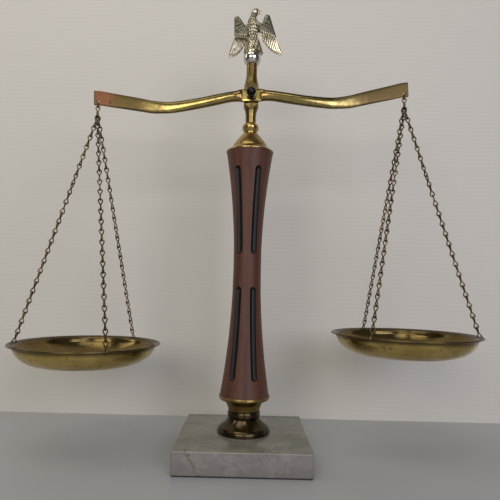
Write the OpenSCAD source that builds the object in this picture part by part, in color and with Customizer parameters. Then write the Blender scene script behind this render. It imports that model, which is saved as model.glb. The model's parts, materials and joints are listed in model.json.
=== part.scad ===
// Equal-arm balance on a turned stand, in millimetres.
// The origin is the centre of the base's underside, +X is right, +Y is away from the front, +Z is up.

/* [Base] */
// Side of the square marble base
base_side = 127; // [120:1:140]
// Thickness of the marble
marble_h = 21; // [18:0.5:26]
// Thickness of the felt under the marble
felt_h = 1.2; // [0.8:0.1:2]

/* [Column] */
// Length of the wood column
wood_h = 251.5; // [245:0.5:260]
// Height of its narrowest place above its bottom end
waist_up = 132.2; // [125:0.1:140]
// Radius at the narrowest place
waist_r = 14.3; // [13.5:0.1:16]
// Radius of the bottom end
wood_bottom_r = 25; // [24:0.1:25]
// Radius of the top end
wood_top_r = 24.4; // [23:0.1:24.8]
// Number of flutes in each of the two rows
flutes = 6; // [4:1:8]
// Radius of the round cutter that makes a flute
flute_cutter_r = 3.6; // [2.5:0.1:4]
// Turn of both rows of flutes about the column, in degrees
flute_turn = -4; // [-30:1:30]

/* [Beam] */
// Height of the beam's pivot above the base's underside
pivot_z = 369; // [368:0.5:370]
// Distance from the pivot to each end of the beam
arm_reach = 165; // [160:0.5:170]
// Distance from the pivot to the hole that a hanger goes through
hole_reach = 160.75; // [156:0.25:165]
// How far those holes lie below the pivot
hole_drop = 2.6; // [2:0.1:3]
// Tilt of the beam as it stands, left end low, in degrees
beam_tilt = 2.9; // [0:0.1:5]

/* [Hangers and chains] */
// Diameter of the wire that rings, hangers and chain links are bent from
wire = 1.3; // [1.1:0.05:1.3]
// Distance from one chain link to the next
link_pitch = 10.7; // [10.5:0.05:11]
// Links in a chain
link_count = 23; // [20:1:24]

/* [Pans] */
// Radius of a pan over its rim
pan_r = 73; // [70:0.5:76]
// Depth of a pan inside
pan_depth = 21; // [18:0.5:26]
// Thickness of the spun sheet
pan_wall = 1; // [0.8:0.1:1.2]

/* [Hidden] */
$fn = 48;

// Clearances: a pin that turns in its hole, parts that pass each other, wires that hang in each other
pin_play = 0.05;
side_play = 0.15;
wire_play = 0.05;
rod_play = 0.25;
skirt_play = 0.1;

// How far a cutter passes through the face where it starts or ends
over = 1;

// The stand's heights, each piece standing on the one below
marble_z = felt_h;
foot_z = marble_z + marble_h;
foot_h = 12.8;
ring_z = foot_z + foot_h;
ring_h = 9.3;
cup_z = ring_z + ring_h;
cup_floor = 13.5;
cup_h = 14.7;
wood_z = cup_z + cup_floor;
cap_z = wood_z + wood_h;
cap_h = 21;
collar_z = cap_z + cap_h;
collar_h = 11.2;
post_z = collar_z + collar_h;
waist_z = wood_z + waist_up;

// The tie rod with its nut and washer, in a counterbore under the base
rod_r = 3;
rod_hole_r = rod_r + rod_play;
counterbore_r = 12;
counterbore_h = 9;
nut_across_corners = 11.5;
nut_h = 5;
washer_r = 9;
washer_h = 1.6;
rod_end = 1;
rod_z = marble_z + counterbore_h - washer_h - nut_h - rod_end;
rod_in_post = 14;
corner_r = 1;
marble_bevel = 0.8;
bevel_inset = 0.3;
felt_inset = 1;

// The flutes' centres run between these heights above the waist
upper_flutes = [15.5, 98.5];
lower_flutes = [-111, -25];
cutter_inset = 1;
flute_end_play = 0.05;

// The pivot post's block, centred on the pivot: its width, its depth and its height
block_w = 15.2;
block_side = 14;
block_h = 19;
post_stem_r = 5.54;
post_top_z = pivot_z + 37.5;

// The beam's boss stands in front of the block
boss_w = 19.5;
boss_h = 13.2;
boss_t = 4;
beam_y = -block_side / 2 - side_play - boss_t / 2;
pivot_pin_r = 2;
pin_in_block = 9.8;
knob_r = 5.05;
knob_neck_r = 4.3;
knob_neck_taper = 0.5;
knob_neck_h = 4.2;
knob_reach = 19.4;
pin_beyond_block = 6;
boss_corner = 2.5;

// One arm, station by station from the pivot: distance, height of its middle, thickness, depth
arm_stations = [
    [9, 0, 13.6, 5.5], [12, 0, 13, 7.6], [16, -0.5, 11.6, 8.8], [23, -1.2, 11.1, 9],
    [34, -3.2, 11.4, 8.8], [57, -7.4, 11.4, 8], [79, -10.4, 11.8, 6.6], [90, -10.8, 12.2, 5.6],
    [103, -9.8, 13.4, 4.7], [116, -7.2, 14.1, 3.9], [131, -4.2, 14.5, 3.2],
    [145, -1.5, 15, 2.7], [157, 1, 15.3, 2.4], [arm_reach, 1.8, 15.4, 2.4]
];
arm_sides = 20;
arm_steps = 2;
round_power = 2;
flat_power = 5;
hanger_hole_r = 1.6;

// Hangers: a ring through the beam, then a long twisted link, measured down from the beam's hole
hanger_ring_r = 2.75;
hanger_ring_drop = 3.28;
wire_gap = wire + wire_play;
hanger_top_loop_r = 2.05;
hanger_low_loop_r = 2.9;
hanger_reach = 6.02;
hanger_low_reach = 6.4;
hanger_link_drop = hanger_ring_drop + hanger_ring_r - wire_gap + hanger_reach;
chain_hook_drop = hanger_link_drop + hanger_low_reach - hanger_low_loop_r;

// A chain link: two loops at right angles, pinched together where their legs cross in the middle
loop_r = 2.05;
neck_x = 0.35;
leg_r = wire / 2 - 0.02;
leg_seat = 0.15;
straight_links = 5;
turning_links = 5;

// The seats of the three chains round the hanger's lower loop: outer, front and back
seat_r = hanger_low_loop_r - wire_gap;
seat_angle = 56;

// Where the chains meet the rims, as angles round each pan: outer, front and back
left_hook_angles = [182, -58, 64];
right_hook_angles = [-7, -131, 111];
hook_circle_r = pan_r - 1.15;
rim_hole_circle_r = pan_r - 3.4;
rim_hole_r = 1.3;
rim_hole_h = 6.4;
hook_rise = 0.55;

// Inside of a pan from its middle to its rim, as shares of the radius and of the depth
pan_curve = [
    [0, -1], [0.3, -0.995], [0.52, -0.97], [0.65, -0.905], [0.76, -0.765], [0.84, -0.575],
    [0.893, -0.35], [0.912, -0.16], [0.921, -0.09], [0.937, -0.055], [1, 0]
];

// The finial: a ball cut flat below, where it sits, and above, where the eagle stands
ball_r = 9.4;
ball_seat = 7;
ball_flat = 8;
ball_z = post_top_z + ball_seat;
eagle_z = ball_z + ball_flat;
stud_r = 2;
stud_in_post = 11;
stud_in_eagle = 6;
stud_end_play = 0.5;

// The eagle's body from its skirt of feathers to its crown: height, x, y, half width, half depth
eagle_body = [
    [-4, 0.3, 0.1, 9.3, 9.1], [-2, 0.7, 0.2, 9.6, 8.9], [0.8, 0.9, 0.4, 9.2, 8.2],
    [4, 0.8, 0.5, 8.4, 7.1], [7.3, 0.7, 0.4, 7.5, 6.3], [12, 0.5, 0.2, 6, 5.5],
    [16, 0.4, 0, 5.1, 5.1], [20, 0.4, -0.4, 5.1, 5.3], [25, 0.5, -1, 5.8, 6], [29, 0.4, -1.2, 6, 6.2],
    [33, 0, -0.8, 5.1, 5.3], [36.5, -0.2, -0.3, 3.7, 4.3], [39.3, 0.3, -0.2, 3.4, 3.9],
    [42.3, 1.7, -0.4, 4, 4.2], [45, 2.6, -0.6, 3.7, 3.9], [46.8, 3.1, -0.6, 2.6, 2.8],
    [47.7, 3.3, -0.6, 1, 1.2]
];
eagle_sides = 20;
beak = [[5.2, -1.6, 43.4], [8.1, -2.3, 42], [8.9, -2.5, 40.4]];
beak_r = [2.2, 1.3, 0.4];
tail_root = [0.4, 4.6, 14];
tail_tip = [0.4, 12, -4];
tail_spread = 5.5;
tail_root_r = 3;
tail_tip_r = 0.8;

// A wing's arm, as round lobes of [x, z, radius]: wrist, outer and inner end of the roots, elbow, shoulder
left_lobes = [[-17.3, 36.8, 3.3], [-17.5, 20.6, 2.5], [-6.5, 18.5, 2.5], [-9, 24.6, 3.5], [-3.5, 29.4, 3.6]];
right_lobes = [[15.4, 39.4, 3.3], [22.6, 20.2, 2.6], [9, 21.5, 2.5], [11.5, 26, 3.5], [6.5, 30.4, 3.4]];

// Its long feathers hang from a row between the outer and inner roots: outer and inner tips, as [x, z]
left_tips = [[-25, -6.1], [-7.2, 10]];
right_tips = [[32, -2.4], [9.5, 15.4]];
wing_y = 1.6;
wing_flatness = 0.6;
primaries = 7;
primary_step = 0.25;
coverts = 6;
covert_length = 8;
covert_lap = 3;
covert_rise = 0.6;
tip_droop = 4.8;
feather_t = 1.2;
feather_r = 1.9;
feather_tip_r = 1;
feather_middle = 0.55;

// A smooth curve through the rows of a table, a few steps from row to row
function between(p, i, f) =
    let (
        last = len(p) - 1,
        a = p[max(i - 1, 0)],
        b = p[i],
        c = p[min(i + 1, last)],
        d = p[min(i + 2, last)]
    )
    (2 * b + (c - a) * f + (2 * a - 5 * b + 4 * c - d) * f * f + (3 * b - a - 3 * c + d) * f * f * f) / 2;
function smooth(p, steps) = [
    for (i = [0:len(p) - 2], k = [0:steps - 1]) between(p, i, k / steps),
    p[len(p) - 1]
];

// The same outline moved sideways by t, to the right of the way it runs; its first point stays on the axis
function outward(p, i) =
    let (t = p[min(i + 1, len(p) - 1)] - p[max(i - 1, 0)])
    i == 0 ? [0, -1] : [t[1], -t[0]] / norm(t);
function moved_out(p, t) = [for (i = [0:len(p) - 1]) p[i] + t * outward(p, i)];
function reversed(p) = [for (i = [len(p) - 1:-1:0]) p[i]];

// A point of an outline between an ellipse (power 2) and a rectangle (higher powers)
function bulge(v, power) = sign(v) * pow(abs(v), 2 / power);

function unit(v) = v / norm(v);

// Turns an angle by half turns until it lies between -90 and 90 degrees
function half_turn(a) = a - 180 * floor((a + 90) / 180);

// Radius of the arc that leaves the waist upright and reaches an end of the column
function arc_r(length, swell) = (length * length + swell * swell) / (2 * swell);

// Centre of a beam hole: side is -1 on the left and 1 on the right
function beam_hole(side) = [
    side * hole_reach * cos(beam_tilt) + hole_drop * sin(beam_tilt),
    beam_y,
    pivot_z + side * hole_reach * sin(beam_tilt) - hole_drop * cos(beam_tilt)
];
function below_hole(side, drop) = beam_hole(side) - [0, 0, drop];

function hook_angles(side) = side < 0 ? left_hook_angles : right_hook_angles;

// Height of a pan's rim, from the length of the chain that hangs on the middle seat
chain_line = link_count * link_pitch - loop_r;
chain_fall = sqrt(pow(chain_line, 2) - pow(hook_circle_r, 2));
pan_hang = chain_hook_drop + hanger_low_loop_r + chain_fall - hook_rise;
function rim_centre(side) = below_hole(side, pan_hang);

// Where a chain ends in its pan's rim, and where it starts on its hanger
function chain_foot(side, seat) =
    let (a = hook_angles(side)[seat])
    rim_centre(side) + [hook_circle_r * cos(a), hook_circle_r * sin(a), -hook_rise];
function chain_head(side, seat) =
    let (
        hook = below_hole(side, chain_hook_drop),
        a = (seat == 1 ? -1 : 1) * seat_angle,
        wire_middle = hook - [0, 0, hanger_low_loop_r]
    )
    seat == 0
        ? wire_middle - wire_gap * unit(chain_foot(side, 0) - wire_middle)
        : hook + seat_r * [0, sin(a), -cos(a)];

// A solid with closed ends through rings of points, each ring turning to the left seen from the last one
module loft(rings) {
    n = len(rings[0]);
    last = (len(rings) - 1) * n;
    sides = [
        for (j = [0:len(rings) - 2], i = [0:n - 1])
            let (a = j * n + i, b = j * n + (i + 1) % n)
            each [[a, a + n, b], [b, a + n, b + n]]
    ];
    ends = [[for (i = [0:n - 1]) i], [for (i = [n - 1:-1:0]) last + i]];
    polyhedron([for (ring = rings) each ring], concat(sides, ends));
}

// A turned piece with a bore for the tie rod: outline rows are [radius, height]
module turned(z, outline, bore) {
    top = outline[len(outline) - 1][1];
    translate([0, 0, z]) difference() {
        rotate_extrude($fn = 96) polygon(concat([[0, 0]], outline, [[0, top]]));
        translate([0, 0, -over]) cylinder(r = bore, h = top + 2 * over);
    }
}

module plate(side, h, r) {
    linear_extrude(h) {
        square([side, side - 2 * r], center = true);
        square([side - 2 * r, side], center = true);
        for (x = [-1, 1], y = [-1, 1]) translate([x, y] * (side / 2 - r)) circle(r);
    }
}

module felt_pad() {
    color("darkolivegreen") plate(base_side - 2 * felt_inset, felt_h, corner_r);
}

module marble_base() {
    straight = marble_h - marble_bevel;
    color("whitesmoke") translate([0, 0, marble_z]) difference() {
        union() {
            plate(base_side, straight, corner_r);
            translate([0, 0, straight])
                linear_extrude(marble_bevel, scale = 1 - 2 * marble_bevel / base_side)
                    square(base_side - 2 * bevel_inset, center = true);
        }
        translate([0, 0, -over]) cylinder(r = rod_hole_r, h = marble_h + 2 * over);
        translate([0, 0, -over]) cylinder(r = counterbore_r, h = counterbore_h + over);
    }
}

module base_washer() {
    color("silver") translate([0, 0, marble_z + counterbore_h - washer_h]) difference() {
        cylinder(r = washer_r, h = washer_h);
        translate([0, 0, -over]) cylinder(r = rod_hole_r, h = washer_h + 2 * over);
    }
}

module base_nut() {
    color("silver") translate([0, 0, marble_z + counterbore_h - washer_h - nut_h]) difference() {
        cylinder(d = nut_across_corners, h = nut_h, $fn = 6);
        translate([0, 0, -over]) cylinder(r = rod_r + pin_play, h = nut_h + 2 * over);
    }
}

module tie_rod() {
    color("silver") translate([0, 0, rod_z]) cylinder(r = rod_r, h = post_z + rod_in_post - rod_z);
}

module foot_flange() {
    color("saddlebrown") turned(foot_z, [
        [26.6, 0], [27, 0.6], [27, 1.8], [26.4, 3.8], [25.5, 5.5], [24, 6.4], [22.4, 7.1],
        [20.6, 8], [19.1, 9], [17.6, 10.4], [16.3, 11.8], [15.5, foot_h]
    ], rod_hole_r);
}

module foot_ring() {
    color("saddlebrown") turned(ring_z, [
        [15.7, 0], [16.5, 1], [16.9, 2.6], [16.9, ring_h - 2.6], [16.5, ring_h - 1], [15.7, ring_h]
    ], rod_hole_r);
}

module lower_cup() {
    color("goldenrod") difference() {
        turned(cup_z, [
            [15.7, 0], [16.2, 2], [17.1, 4.5], [18.1, 6.4], [19.4, 8], [21.6, 9.5], [24.2, 10.7],
            [25.4, 11.7], [25.8, 13], [25.8, cup_h - 0.3], [25.5, cup_h]
        ], rod_hole_r);
        translate([0, 0, wood_z]) cylinder(r = wood_bottom_r + pin_play, h = cup_h);
    }
}

// One flute: a groove that follows the column's arc between two heights above the waist, with round ends
module flute(arc, row) {
    cutter_arc = arc - cutter_inset;
    from = asin(row[0] / arc);
    to = asin(row[1] / arc);
    end_r = flute_cutter_r + flute_end_play;
    translate([waist_r + arc, 0, waist_z]) {
        rotate([90, 0, 0]) rotate_extrude(angle = to - from, start = 180 - to)
            translate([cutter_arc, 0]) circle(flute_cutter_r);
        for (a = [from, to]) translate(cutter_arc * [-cos(a), 0, sin(a)]) sphere(end_r);
    }
}

module wood_column() {
    top_arc = arc_r(wood_h - waist_up, wood_top_r - waist_r);
    low_arc = arc_r(waist_up, wood_bottom_r - waist_r);
    color("sienna") difference() {
        rotate_extrude($fn = 96) difference() {
            translate([0, wood_z]) square([wood_bottom_r, wood_h]);
            intersection() {
                translate([waist_r + top_arc, waist_z]) circle(top_arc, $fn = 360);
                translate([0, waist_z]) square([wood_bottom_r + over, wood_h]);
            }
            intersection() {
                translate([waist_r + low_arc, waist_z]) circle(low_arc, $fn = 360);
                translate([0, waist_z - wood_h]) square([wood_bottom_r + over, wood_h]);
            }
        }
        translate([0, 0, wood_z - over]) cylinder(r = rod_hole_r, h = wood_h + 2 * over);
        for (i = [0:flutes - 1]) rotate([0, 0, -90 + flute_turn + (i + 0.5) * 360 / flutes]) {
            flute(top_arc, upper_flutes);
            flute(low_arc, lower_flutes);
        }
    }
}

module top_cap() {
    color("goldenrod") turned(cap_z, [
        [24.6, 0], [25, 0.4], [25, 1.1], [24.5, 1.5], [23.6, 2.4], [21.4, 3.3], [19.6, 4.4],
        [18.6, 5.8], [18, 7.4], [17.2, 8.7], [15.9, 10.9], [14.2, 13.3], [12.2, 15.9],
        [10.2, 18.3], [8.6, 20], [7.8, cap_h]
    ], rod_hole_r);
}

module neck_collar() {
    color("goldenrod") turned(collar_z, [
        [6.8, 0], [6.8, 1.8], [7.5, 3], [8.3, 4.5], [8.7, 6.2], [8.7, 7.6], [8.1, 9], [7, 10.3],
        [5.9, collar_h]
    ], rod_hole_r);
}

// Turned to a stem with two flares, then milled flat round the pivot, which leaves arched shoulders
module pivot_post() {
    low = pivot_z - block_h / 2 - post_z;
    high = low + block_h;
    top = post_top_z - post_z;
    color("goldenrod") difference() {
        intersection() {
            turned(post_z, [
                [post_stem_r, 0], [post_stem_r, low - 9.5], [5.9, low - 6.5], [6.5, low - 3.6],
                [7.6, low - 1.2], [9, low + 0.5], [10.4, low + 1.8], [10.4, high - 1],
                [9.2, high + 1.6], [8.1, high + 4.2], [7.2, high + 6.8], [6.6, high + 9.6],
                [6.1, high + 12.2], [5.7, high + 16], [post_stem_r, top]
            ], pin_play);
            translate([0, 0, post_z + top / 2]) cube([block_w, block_side, top], center = true);
        }
        translate([0, 0, post_z - over])
            cylinder(r = rod_r + pin_play, h = rod_in_post + over + stud_end_play);
        translate([0, 0, post_top_z - stud_in_post - stud_end_play])
            cylinder(r = stud_r + pin_play, h = stud_in_post + stud_end_play + over);
        translate([0, -block_side / 2 - over, pivot_z]) rotate([-90, 0, 0])
            cylinder(r = pivot_pin_r + pin_play, h = pin_in_block + over + stud_end_play);
    }
}

// The beam turns on this screw's plain shank, between the block and the knob's neck
module pivot_screw() {
    boss_front = block_side / 2 + side_play + boss_t + side_play;
    color("dimgray") translate([0, 0, pivot_z]) rotate([90, 0, 0]) {
        translate([0, 0, block_side / 2 - pin_in_block])
            cylinder(r = pivot_pin_r, h = pin_in_block + pin_beyond_block);
        translate([0, 0, boss_front])
            cylinder(r1 = knob_neck_r, r2 = knob_neck_r - knob_neck_taper, h = knob_neck_h);
        translate([0, 0, knob_reach]) sphere(knob_r);
    }
}

module finial_stud() {
    color("silver") translate([0, 0, post_top_z - stud_in_post])
        cylinder(r = stud_r, h = stud_in_post + ball_seat + ball_flat + stud_in_eagle);
}

// A ball about the origin, cut flat at the seat below and where the eagle stands above
module flat_ball(r) {
    intersection() {
        sphere(r);
        translate([0, 0, (ball_flat - ball_seat) / 2])
            cube([3 * r, 3 * r, ball_seat + ball_flat], center = true);
    }
}

module finial_ball() {
    color("silver") translate([0, 0, ball_z]) difference() {
        flat_ball(ball_r);
        cylinder(r = stud_r + pin_play, h = 3 * ball_r, center = true);
    }
}

// A flat feather in the wing's plane, from [x, z] to [x, z], at a depth y
module feather(root, tip, root_r, tip_r, y) {
    spots = [[root, root_r, feather_t], [root + feather_middle * (tip - root), root_r, feather_t],
        [tip, tip_r, feather_t / 2]];
    hull() for (s = spots)
        translate([s[0][0], y, s[0][1]]) rotate([90, 0, 0]) cylinder(r = s[1], h = s[2], $fn = 12);
}

module lobes(list) {
    hull() for (p = list)
        translate([p[0], wing_y, p[1]]) scale([1, wing_flatness, 1]) sphere(p[2], $fn = 16);
}

module wing(lobe, tips) {
    outer = [lobe[1][0], lobe[1][1]];
    inner = [lobe[2][0], lobe[2][1]];
    for (k = [0:primaries - 1]) {
        f = k / (primaries - 1);
        tip = tips[0] + f * (tips[1] - tips[0]) - [0, tip_droop * sin(180 * f)];
        feather(outer + f * (inner - outer), tip, feather_r, feather_tip_r, wing_y + primary_step * k);
    }
    for (k = [0:coverts - 1]) {
        f = k / (coverts - 1);
        root = outer + f * (inner - outer);
        along = unit(tips[0] + f * (tips[1] - tips[0]) - root);
        feather(
            root - covert_lap * along, root + (covert_length - covert_lap) * along, feather_r, feather_r,
            wing_y - covert_rise
        );
    }
    lobes([lobe[0], lobe[1], lobe[3]]);
    lobes([lobe[1], lobe[2], lobe[3], lobe[4]]);
}

// Its skirt of feathers laps over the ball without touching it, and its middle stands on the ball's flat
module eagle() {
    rings = [
        for (row = smooth(eagle_body, 2)) [
            for (i = [0:eagle_sides - 1])
                let (a = 360 * i / eagle_sides)
                [row[1] + row[3] * cos(a), row[2] + row[4] * sin(a), row[0]]
        ]
    ];
    color("lightgray") translate([0, 0, eagle_z]) difference() {
        union() {
            loft(rings);
            hull() for (i = [0:2]) translate(beak[i]) sphere(beak_r[i], $fn = 16);
            hull() {
                translate(tail_root) sphere(tail_root_r, $fn = 16);
                for (s = [-1, 1]) translate(tail_tip + [s * tail_spread, 0, 0]) sphere(tail_tip_r, $fn = 16);
            }
            wing(left_lobes, left_tips);
            wing(right_lobes, right_tips);
        }
        translate([0, 0, -ball_flat]) flat_ball(ball_r + skirt_play, $fn = 48);
        translate([0, 0, -over]) cylinder(r = stud_r + pin_play, h = stud_in_eagle + over + stud_end_play);
    }
}

// The outline across an arm turns from round beside the boss to a flat bar at the end
module arm() {
    rings = [
        for (row = smooth(arm_stations, arm_steps))
            let (power = round_power + (flat_power - round_power) * row[0] / arm_reach)
            [
                for (i = [0:arm_sides - 1])
                    let (a = 360 * i / arm_sides)
                    [
                        row[0], bulge(cos(a), power) * row[3] / 2,
                        row[1] + bulge(sin(a), power) * row[2] / 2
                    ]
            ]
    ];
    loft(rings);
}

module beam() {
    corner = boss_corner;
    color("goldenrod") translate([0, beam_y, pivot_z]) rotate([0, -beam_tilt, 0]) difference() {
        union() {
            rotate([90, 0, 0]) linear_extrude(boss_t, center = true) {
                square([boss_w, boss_h - 2 * corner], center = true);
                square([boss_w - 2 * corner, boss_h], center = true);
                for (x = [-1, 1], z = [-1, 1])
                    translate([x * (boss_w / 2 - corner), z * (boss_h / 2 - corner)]) circle(corner);
            }
            arm();
            mirror([1, 0, 0]) arm();
        }
        rotate([90, 0, 0]) cylinder(r = pivot_pin_r + pin_play, h = 2 * boss_t, center = true);
        for (side = [-1, 1]) translate([side * hole_reach, 0, -hole_drop]) rotate([90, 0, 0])
            cylinder(r = hanger_hole_r, h = 2 * boss_t, center = true);
    }
}

module hanger_ring(side) {
    color("goldenrod") translate(below_hole(side, hanger_ring_drop)) rotate([0, 90, 0])
        rotate_extrude() translate([hanger_ring_r, 0]) circle(wire / 2);
}

// One half of a twisted link: a loop whose far side lies reach above the middle, and two legs down from it
module link_half(loop, reach) {
    centre = reach - loop;
    lean = asin(loop / norm([centre, neck_x])) - atan2(neck_x, centre);
    leg = (centre - loop * sin(lean)) / cos(lean);
    translate([0, 0, centre]) rotate([90, 0, 0])
        rotate_extrude(angle = 180 + 2 * lean, start = -lean)
            translate([loop, 0]) circle(wire / 2, $fn = 16);
    for (s = [-1, 1]) translate([s * neck_x, 0, 0]) rotate([0, s * lean, 0])
        cylinder(r = leg_r, h = leg + leg_seat, $fn = 16);
}

// The upper loop lies in the XZ plane and the lower one in the YZ plane, as in a single jack chain
module twisted_link(top_loop, top_reach, low_loop, low_reach) {
    link_half(top_loop, top_reach, $fn = 24);
    rotate([180, 0, 90]) link_half(low_loop, low_reach, $fn = 24);
}

module hanger_link(side) {
    color("goldenrod") translate(below_hole(side, hanger_link_drop))
        twisted_link(hanger_top_loop_r, hanger_reach, hanger_low_loop_r, hanger_low_reach);
}

// A chain runs straight from its seat on the hanger to the rim. Its first links face along X, and the
// next few turn a little each, so that the last loop stands across the rim.
module chain(side, seat) {
    head = chain_head(side, seat);
    way = chain_foot(side, seat) - head;
    slope = acos(-way[2] / norm(way));
    bearing = atan2(way[1], way[0]);
    pitch = (norm(way) + loop_r - wire_gap) / link_count;
    reach = (pitch + wire_gap) / 2;
    first_roll = -bearing;
    turn = half_turn(90 - first_roll);
    color("darkgoldenrod") translate(head) rotate([0, -slope, bearing])
        for (k = [0:link_count - 1]) {
            share = min(max((k - straight_links) / turning_links, 0), 1);
            translate([0, 0, -reach - k * pitch]) rotate([0, 0, first_roll + share * turn])
                twisted_link(loop_r, reach, loop_r, reach);
        }
}

module pan(side) {
    inside = smooth([for (p = pan_curve) [p[0] * pan_r, p[1] * pan_depth]], 2);
    color("goldenrod") translate(rim_centre(side)) difference() {
        rotate_extrude($fn = 96) polygon(concat(inside, reversed(moved_out(inside, pan_wall))));
        for (a = hook_angles(side)) rotate([0, 0, a]) translate([rim_hole_circle_r, 0, 0])
            cylinder(r = rim_hole_r, h = rim_hole_h, center = true);
    }
}

felt_pad();
marble_base();
base_nut();
base_washer();
tie_rod();
foot_flange();
foot_ring();
lower_cup();
wood_column();
top_cap();
neck_collar();
pivot_post();
pivot_screw();
finial_stud();
finial_ball();
eagle();
beam();
hanger_ring(-1);  // left_hanger_ring
hanger_link(-1);  // left_hanger_link
chain(-1, 0);  // left_outer_chain
chain(-1, 1);  // left_front_chain
chain(-1, 2);  // left_back_chain
pan(-1);  // left_pan
hanger_ring(1);  // right_hanger_ring
hanger_link(1);  // right_hanger_link
chain(1, 0);  // right_outer_chain
chain(1, 1);  // right_front_chain
chain(1, 2);  // right_back_chain
pan(1);  // right_pan
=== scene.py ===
"""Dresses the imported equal-arm balance: finished metal, wood and stone pieces around the CAD frame."""

import json
import math

import bmesh
import bpy
from mathutils import Matrix, Vector


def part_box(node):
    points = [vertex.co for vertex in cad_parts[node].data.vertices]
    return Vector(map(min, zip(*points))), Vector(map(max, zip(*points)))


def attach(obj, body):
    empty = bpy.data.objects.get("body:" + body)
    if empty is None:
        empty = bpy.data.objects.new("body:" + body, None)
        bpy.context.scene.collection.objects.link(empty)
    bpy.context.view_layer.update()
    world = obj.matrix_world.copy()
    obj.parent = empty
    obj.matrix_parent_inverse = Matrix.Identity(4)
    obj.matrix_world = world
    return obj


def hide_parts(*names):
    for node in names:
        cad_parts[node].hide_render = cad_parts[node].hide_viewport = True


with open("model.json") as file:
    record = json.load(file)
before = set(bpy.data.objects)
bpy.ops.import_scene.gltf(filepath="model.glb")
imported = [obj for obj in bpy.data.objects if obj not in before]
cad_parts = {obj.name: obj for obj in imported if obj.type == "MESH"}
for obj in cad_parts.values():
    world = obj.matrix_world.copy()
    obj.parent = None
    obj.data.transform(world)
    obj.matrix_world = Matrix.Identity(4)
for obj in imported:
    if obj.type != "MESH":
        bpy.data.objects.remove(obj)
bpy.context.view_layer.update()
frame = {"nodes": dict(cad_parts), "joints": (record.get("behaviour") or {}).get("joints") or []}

bl_info = {
    "name": "Equal-arm balance",
    "version": (1, 0, 0),
    "blender": (4, 5, 0),
    "location": "3D View > Sidebar > Balance",
    "description": "Builds the stand, beam, chains and pans of an equal-arm balance",
    "category": "Add Mesh",
}

MM = 0.001
JOINTS = {joint["name"]: Vector(joint["pos_m"]) for joint in frame["joints"]}
PIVOT = JOINTS["beam_tilt"]
PAN_REACH = (JOINTS["right_sway"].x - JOINTS["left_sway"].x) / 2
SIDES = {"left": -1, "right": 1}
SEATS = ("outer", "front", "back")


def low(node):
    """The lowest height of a CAD node."""
    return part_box(node)[0].z


def high(node):
    """The greatest height of a CAD node."""
    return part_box(node)[1].z


def mm(*values):
    """A point given in millimetres, in metres."""
    return Vector(values) * MM


# Selecting and finishing

def pick(*pieces):
    """Selects only these pieces, with the first one active."""
    bpy.ops.object.select_all(action="DESELECT")
    for piece in pieces:
        piece.select_set(True)
    bpy.context.view_layer.objects.active = pieces[0]


def edit(piece):
    """Opens a piece in edit mode with all of it selected."""
    pick(piece)
    bpy.ops.object.mode_set(mode="EDIT")
    bpy.ops.mesh.select_all(action="SELECT")


def leave_edit():
    bpy.ops.object.mode_set(mode="OBJECT")


def added(name):
    """The primitive that was just added, under its own name."""
    piece = bpy.context.active_object
    piece.name = name
    piece.data.name = name
    return piece


def made(kind, name, **settings):
    """A new mesh primitive of a kind."""
    getattr(bpy.ops.mesh, f"primitive_{kind}_add")(**settings)
    return added(name)


def settle(piece):
    """Writes a piece's place, turn and size into its mesh."""
    pick(piece)
    bpy.ops.object.transform_apply(location=True, rotation=True, scale=True)
    return piece


def modify(piece, kind, **settings):
    """Adds a modifier and applies it."""
    pick(piece)
    modifier = piece.modifiers.new(kind.title(), kind)
    for key, value in settings.items():
        setattr(modifier, key, value)
    bpy.ops.object.modifier_apply(modifier=modifier.name)
    return piece


def bevel(piece, width, segments=2, angle=30):
    return modify(
        piece, "BEVEL", width=width * MM, segments=segments, limit_method="ANGLE",
        angle_limit=math.radians(angle), miter_outer="MITER_ARC",
    )


def cut(piece, tool, operation="DIFFERENCE"):
    """Cuts a piece with a tool, whose material stays on the cut faces, and removes the tool."""
    modify(
        piece, "BOOLEAN", object=tool, operation=operation, solver="EXACT",
        material_mode="TRANSFER",
    )
    bpy.data.objects.remove(tool)
    return piece


def smooth(piece, angle):
    pick(piece)
    bpy.ops.object.shade_smooth_by_angle(angle=math.radians(angle))


def joined(name, pieces):
    """Joins pieces into one mesh."""
    pick(*pieces)
    if len(pieces) > 1:
        bpy.ops.object.join()
    return added(name)


def turn_out(piece):
    """Turns the faces of a piece outwards."""
    edit(piece)
    bpy.ops.mesh.normals_make_consistent(inside=False)
    leave_edit()
    return piece


def dress(piece, finish):
    """Gives a new piece its material, before anything is cut from it."""
    piece.data.materials.append(FINISHES[finish])
    return piece


def scattered(name, pattern, places):
    """One mesh of copies of a small pattern, one at each place; the pattern itself is removed."""
    form = bmesh.new()
    for place in places:
        twin = pattern.data.copy()
        twin.transform(place)
        form.from_mesh(twin)
        bpy.data.meshes.remove(twin)
    mesh = bpy.data.meshes.new(name)
    form.to_mesh(mesh)
    form.free()
    for material in pattern.data.materials:
        mesh.materials.append(material)
    bpy.data.objects.remove(pattern)
    piece = bpy.data.objects.new(name, mesh)
    bpy.context.collection.objects.link(piece)
    return piece


def hand_in(piece, body, slot, *nodes, edge=0, angle=40):
    """Bevels a finished piece if asked and smooths it, dresses it in its slot's finish if it has none, gives
    it its body and hides the CAD nodes that it stands for.
    """
    if edge:
        bevel(piece, edge)
    smooth(piece, angle)
    if not piece.data.materials:
        dress(piece, slot)
    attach(piece, body)
    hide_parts(*nodes)


# Forming

def run_through(points, steps):
    """A smooth run of points through a few given ones."""
    run = []
    last = len(points) - 1
    for i in range(last):
        a = Vector(points[max(i - 1, 0)])
        b = Vector(points[i])
        c = Vector(points[i + 1])
        d = Vector(points[min(i + 2, last)])
        for k in range(steps):
            f = k / steps
            bend = (2 * a - 5 * b + 4 * c - d) * f**2
            twist = (3 * b - a - 3 * c + d) * f**3
            run.append((2 * b + (c - a) * f + bend + twist) / 2)
    run.append(Vector(points[last]))
    return run


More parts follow.
